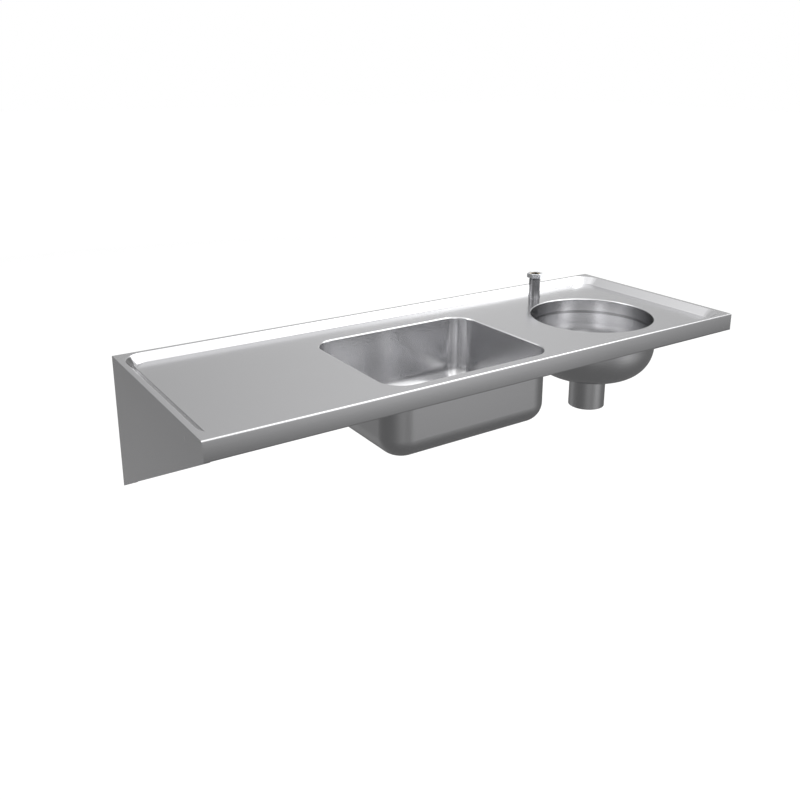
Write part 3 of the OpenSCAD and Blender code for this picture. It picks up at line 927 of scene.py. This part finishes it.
@dataclass
class Underframe(SubAssembly):
    """The stiffening channels and the sound pads under the worktop and the basin."""

    pad_corner: float = 0.012
    pad_edge: float = 0.0009
    pad_hole_r: float = 0.044
    pad_segments: int = 240
    cross_channels: int = 5

    def build(self) -> None:
        """Dresses the channels and makes the pads."""
        self.dress(MILL, "front_channel", "rear_channel_left", "rear_channel_right",
                   *(f"cross_channel_{k}" for k in range(1, self.cross_channels + 1)))
        for node, hole_r in (("drainer_pad_1", 0.0), ("drainer_pad_2", 0.0), ("basin_pad", self.pad_hole_r)):
            self.pad(node, hole_r)

    def pad(self, node: str, hole_r: float) -> bpy.types.Object:
        """Makes a pressed pad with rounded corners and edges.

        Args:
            node: The CAD node that it replaces.
            hole_r: Radius of the hole in its middle, or 0 for none.

        Returns:
            The pad.
        """
        low, high = (Vector(v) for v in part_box(node))
        half = (high - low) / 2.0
        core = (half.x - self.pad_corner, half.y - self.pad_corner)

        def reach(angle: float) -> float:
            """Gives the distance to the rounded rectangle's edge at an angle."""
            along, across = abs(math.cos(angle)), abs(math.sin(angle))
            side = half.x / along if along * core[1] > across * half.x else half.y / max(across, TINY)
            if side * along <= core[0] or side * across <= core[1]:
                return side
            dot = along * core[0] + across * core[1]
            return dot + math.sqrt(dot * dot - core[0] ** 2 - core[1] ** 2 + self.pad_corner ** 2)

        bm = bmesh.new()
        levels = ((low.z, self.pad_edge), (low.z + self.pad_edge, 0.0), (high.z - self.pad_edge, 0.0),
                  (high.z, self.pad_edge))
        rings = [ring(bm, lambda a, z=z, inset=inset: (reach(a) - inset, z), self.pad_segments)
                 for z, inset in levels]
        if hole_r:
            loft(bm, rings + circles(bm, [(hole_r, high.z), (hole_r, low.z)]), closed=True)
        else:
            loft(bm, rings)
            bmesh.ops.edgeloop_fill(bm, edges=rings[0])
            bmesh.ops.edgeloop_fill(bm, edges=rings[-1])
        bm.transform(self.middle(node))
        return put(bm, node + "_pressed", PAD, Slot.PAD, Body.SINK, node)


@dataclass
class Earthing(SubAssembly):
    """The earth terminal on the left gable."""

    stud_r: float = 0.003
    pitch: float = 0.001
    nut_flats: float = 0.010
    edge: float = 0.0005
    stud_segments: int = 24
    nut_segments: int = 48

    def build(self) -> None:
        """Builds the threaded stud and its nut, and dresses the rest."""
        self.dress(CHROME, "earth_tag", "earth_washer")
        self.stud()
        self.nut()

    def stood(self) -> Matrix:
        """Gives the move that stands a piece made about Z on the gable, pointing along X."""
        low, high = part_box("earth_stud")
        root = Vector((low[0], (low[1] + high[1]) / 2.0, (low[2] + high[2]) / 2.0))
        return Matrix.Translation(root) @ Matrix.Rotation(math.pi / 2.0, 4, "Y")

    def stud(self) -> bpy.types.Object:
        """Makes the threaded stud.

        Returns:
            The stud.
        """
        low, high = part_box("earth_stud")
        length = high[0] - low[0]
        bm = bmesh.new()
        thread = Thread(self.stud_r, self.pitch, 0.0, length - self.edge, steps=self.stud_segments)
        lower, upper = thread.wind(bm)
        tip = circles(bm, [(self.stud_r - self.pitch, length)], self.stud_segments)[0]
        loft(bm, [upper, tip])
        bmesh.ops.edgeloop_fill(bm, edges=lower)
        bmesh.ops.edgeloop_fill(bm, edges=tip)
        bm.transform(self.stood())
        return put(bm, "earth_stud_threaded", TURNED, Slot.BRASS, Body.SINK, "earth_stud")

    def nut(self) -> bpy.types.Object:
        """Makes the earth nut with chamfered corners.

        Returns:
            The nut.
        """
        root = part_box("earth_stud")[0][0]
        low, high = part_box("earth_nut")
        shape = Hexagon(self.nut_flats, low[0] - root, high[0] - root, flat_at=30.0)
        bm = shape.build(shape.plain_bore(self.stud_r + THREAD_GAP, self.edge), self.nut_segments)
        bm.transform(self.stood())
        return put(bm, "earth_nut_chamfered", CHROME, Slot.CHROME, Body.SINK, "earth_nut")


@dataclass(frozen=True)
class Glow:
    """A soft light in the tent's cloth: a round one, or an upright strip from the horizon up."""

    azimuth: float
    elevation: float
    tightness: float
    strength: float
    strip: bool = False

    @property
    def aim(self) -> Spot:
        """Direction from the sink to the middle of the light."""
        az, el = math.radians(self.azimuth), math.radians(self.elevation)
        return (math.cos(az) * math.cos(el), math.sin(az) * math.cos(el), math.sin(el))


@dataclass
class Studio:
    """The plain floor, the tent of soft light and the camera."""

    floor_level: float = -0.705
    floor_half: float = 30.0
    floor_white: float = 0.93
    floor_grey: float = 0.18
    floor_roughness: float = 0.9
    tent_radius: float = 6.0
    camera_place: Spot = (-1.3084, -2.0702, 0.8790)
    azimuth: float = -35.11
    elevation: float = 15.63
    roll: float = 0.57
    lens: float = 38.73
    sensor: float = 36.0
    shift: Place = (-0.0378, -0.1150)
    below: float = 0.17
    level: float = 0.46
    crown: float = 0.75
    level_rise: Span = (0.0, 0.26)
    crown_rise: Span = (0.88, 1.0)
    strip_foot: Span = (-0.1, 0.1)
    strip_top: Span = (0.95, 0.8)
    diffuse_share: float = 0.5
    glows: tuple[Glow, ...] = (
        Glow(150.0, 45.0, 12.0, 2.7), Glow(300.0, 45.0, 4.0, 0.7), Glow(338.0, 56.0, 16.0, 1.4),
        Glow(58.0, 61.0, 20.0, 0.9), Glow(6.0, 50.0, 40.0, 5.0), Glow(52.0, 18.0, 8.0, 0.28),
        Glow(240.0, 0.0, 12.0, 0.2), Glow(110.0, -30.0, 12.0, 0.17), Glow(298.0, 0.0, 12.0, 0.38),
        Glow(190.0, 60.0, 12.0, 0.7), Glow(285.0, 58.0, 12.0, 0.6), Glow(160.0, 0.0, 70.0, 1.2, strip=True),
        Glow(248.0, 0.0, 40.0, 1.0, strip=True), Glow(293.0, 0.0, 50.0, 0.9, strip=True))

    def build(self) -> None:
        """Sets up the whole studio."""
        self.build_camera()
        self.build_world()
        self.build_floor()
        self.build_tent()
        bpy.context.scene.view_settings.view_transform = "Standard"
        LOG.info("studio: floor at %.3f m, %d glows in the tent", self.floor_level, len(self.glows))

    def build_camera(self) -> None:
        """Places the camera where the photograph was taken from."""
        az, el, roll = (math.radians(v) for v in (self.azimuth, self.elevation, self.roll))
        back = Vector((math.sin(az) * math.cos(el), -math.cos(az) * math.cos(el), math.sin(el)))
        right = Vector((math.cos(az), math.sin(az), 0.0))
        up = back.cross(right)
        across = right * math.cos(roll) + up * math.sin(roll)
        upward = up * math.cos(roll) - right * math.sin(roll)
        data = bpy.data.cameras.new("camera")
        data.lens, data.sensor_width = self.lens, self.sensor
        data.shift_x, data.shift_y = self.shift
        camera = bpy.data.objects.new("camera", data)
        turned = Matrix((across, upward, back)).transposed().to_4x4()
        camera.matrix_world = Matrix.Translation(self.camera_place) @ turned
        bpy.context.scene.collection.objects.link(camera)
        bpy.context.scene.camera = camera

    def build_world(self) -> None:
        """Gives the picture its white surround."""
        world = bpy.data.worlds.new("surround")
        bpy.context.scene.world = world
        world.use_nodes = True
        world.node_tree.nodes["Background"].inputs["Color"].default_value = (1.0, 1.0, 1.0, 1.0)

    def stage(self, bm: Shape, name: str, material: bpy.types.Material) -> bpy.types.Object:
        """Turns a bmesh into a piece of the studio.

        Args:
            bm: The shape; it is freed.
            name: What it is called.
            material: Its material.

        Returns:
            The object.
        """
        mesh = bpy.data.meshes.new(name)
        bm.to_mesh(mesh)
        bm.free()
        mesh.materials.append(material)
        made = bpy.data.objects.new(name, mesh)
        bpy.context.scene.collection.objects.link(made)
        return made

    def build_floor(self) -> None:
        """Lays the plain floor, which is white to the camera and dark to the metal."""
        bm = bmesh.new()
        bmesh.ops.create_grid(bm, x_segments=4, y_segments=4, size=self.floor_half)
        bmesh.ops.translate(bm, verts=bm.verts, vec=(0, 0, self.floor_level))
        made = bpy.data.materials.new("floor_paper")
        made.use_nodes = True
        tree = made.node_tree
        shader = tree.nodes["Principled BSDF"]
        shader.inputs["Base Color"].default_value = (self.floor_grey, self.floor_grey, self.floor_grey, 1.0)
        shader.inputs["Roughness"].default_value = self.floor_roughness
        shader.inputs["Specular IOR Level"].default_value = 0.0
        shader.inputs["Emission Color"].default_value = (1.0, 1.0, 1.0, 1.0)
        paths = tree.nodes.new("ShaderNodeLightPath")
        tree.links.new(maths(tree, "MULTIPLY", paths.outputs["Is Camera Ray"], self.floor_white),
                       shader.inputs["Emission Strength"])
        floor = self.stage(bm, "floor", made)
        floor.visible_glossy = False
        floor.visible_diffuse = False

    def build_tent(self) -> None:
        """Hangs the soft tent, grey below and pale above, which the metal reflects."""
        bm = bmesh.new()
        bmesh.ops.create_icosphere(bm, subdivisions=3, radius=self.tent_radius)
        bmesh.ops.reverse_faces(bm, faces=bm.faces)
        tent = self.stage(bm, "tent", self.tent_cloth())
        tent.visible_camera = False
        tent.visible_shadow = False

    def tent_cloth(self) -> bpy.types.Material:
        """Makes the tent's glowing cloth.

        Returns:
            A material that shines by its direction from the sink: grey below, pale sides, a paler crown
            and the glows.
        """
        made = bpy.data.materials.new("tent_cloth")
        made.use_nodes = True
        made.cycles.emission_sampling = "NONE"
        tree = made.node_tree
        tree.nodes.clear()
        link = tree.links.new
        place = tree.nodes.new("ShaderNodeTexCoord")
        way = tree.nodes.new("ShaderNodeVectorMath")
        way.operation = "NORMALIZE"
        link(place.outputs["Object"], way.inputs[0])
        split = tree.nodes.new("ShaderNodeSeparateXYZ")
        link(way.outputs["Vector"], split.inputs[0])
        up = split.outputs["Z"]
        flat = tree.nodes.new("ShaderNodeCombineXYZ")
        link(split.outputs["X"], flat.inputs["X"])
        link(split.outputs["Y"], flat.inputs["Y"])
        level = tree.nodes.new("ShaderNodeVectorMath")
        level.operation = "NORMALIZE"
        link(flat.outputs["Vector"], level.inputs[0])
        span = maths(tree, "MULTIPLY", rise(tree, up, *self.strip_foot), rise(tree, up, *self.strip_top))
        sides, crown = rise(tree, up, *self.level_rise), rise(tree, up, *self.crown_rise)
        total = maths(tree, "MULTIPLY_ADD", sides, self.level - self.below, self.below)
        total = maths(tree, "MULTIPLY_ADD", crown, self.crown - self.level, total)
        for one in self.glows:
            aim = tree.nodes.new("ShaderNodeVectorMath")
            aim.operation = "DOT_PRODUCT"
            aim.inputs[1].default_value = one.aim
            link((level if one.strip else way).outputs["Vector"], aim.inputs[0])
            near = maths(tree, "MULTIPLY", maths(tree, "SUBTRACT", aim.outputs["Value"], 1.0), one.tightness)
            shine = maths(tree, "EXPONENT", near)
            if one.strip:
                shine = maths(tree, "MULTIPLY", shine, span)
            total = maths(tree, "MULTIPLY_ADD", shine, one.strength, total)
        paths = tree.nodes.new("ShaderNodeLightPath")
        plain = maths(tree, "MULTIPLY_ADD", paths.outputs["Is Diffuse Ray"], self.diffuse_share - 1.0, 1.0)
        glow = tree.nodes.new("ShaderNodeEmission")
        link(maths(tree, "MULTIPLY", total, plain), glow.inputs["Strength"])
        out = tree.nodes.new("ShaderNodeOutputMaterial")
        link(glow.outputs["Emission"], out.inputs["Surface"])
        return made


def main() -> None:
    """Builds the sink's sub-assemblies in order, then the studio."""
    logging.basicConfig(level=logging.INFO)
    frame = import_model()
    for kind in (Worktop, Basin, SluiceBowl, FlushInlet, BasinWaste, Underframe, Earthing):
        kind(frame["nodes"]).build()
        LOG.info("sub-assembly %s done", kind.__name__)
    Studio().build()


if __name__ == "__main__":
    main()
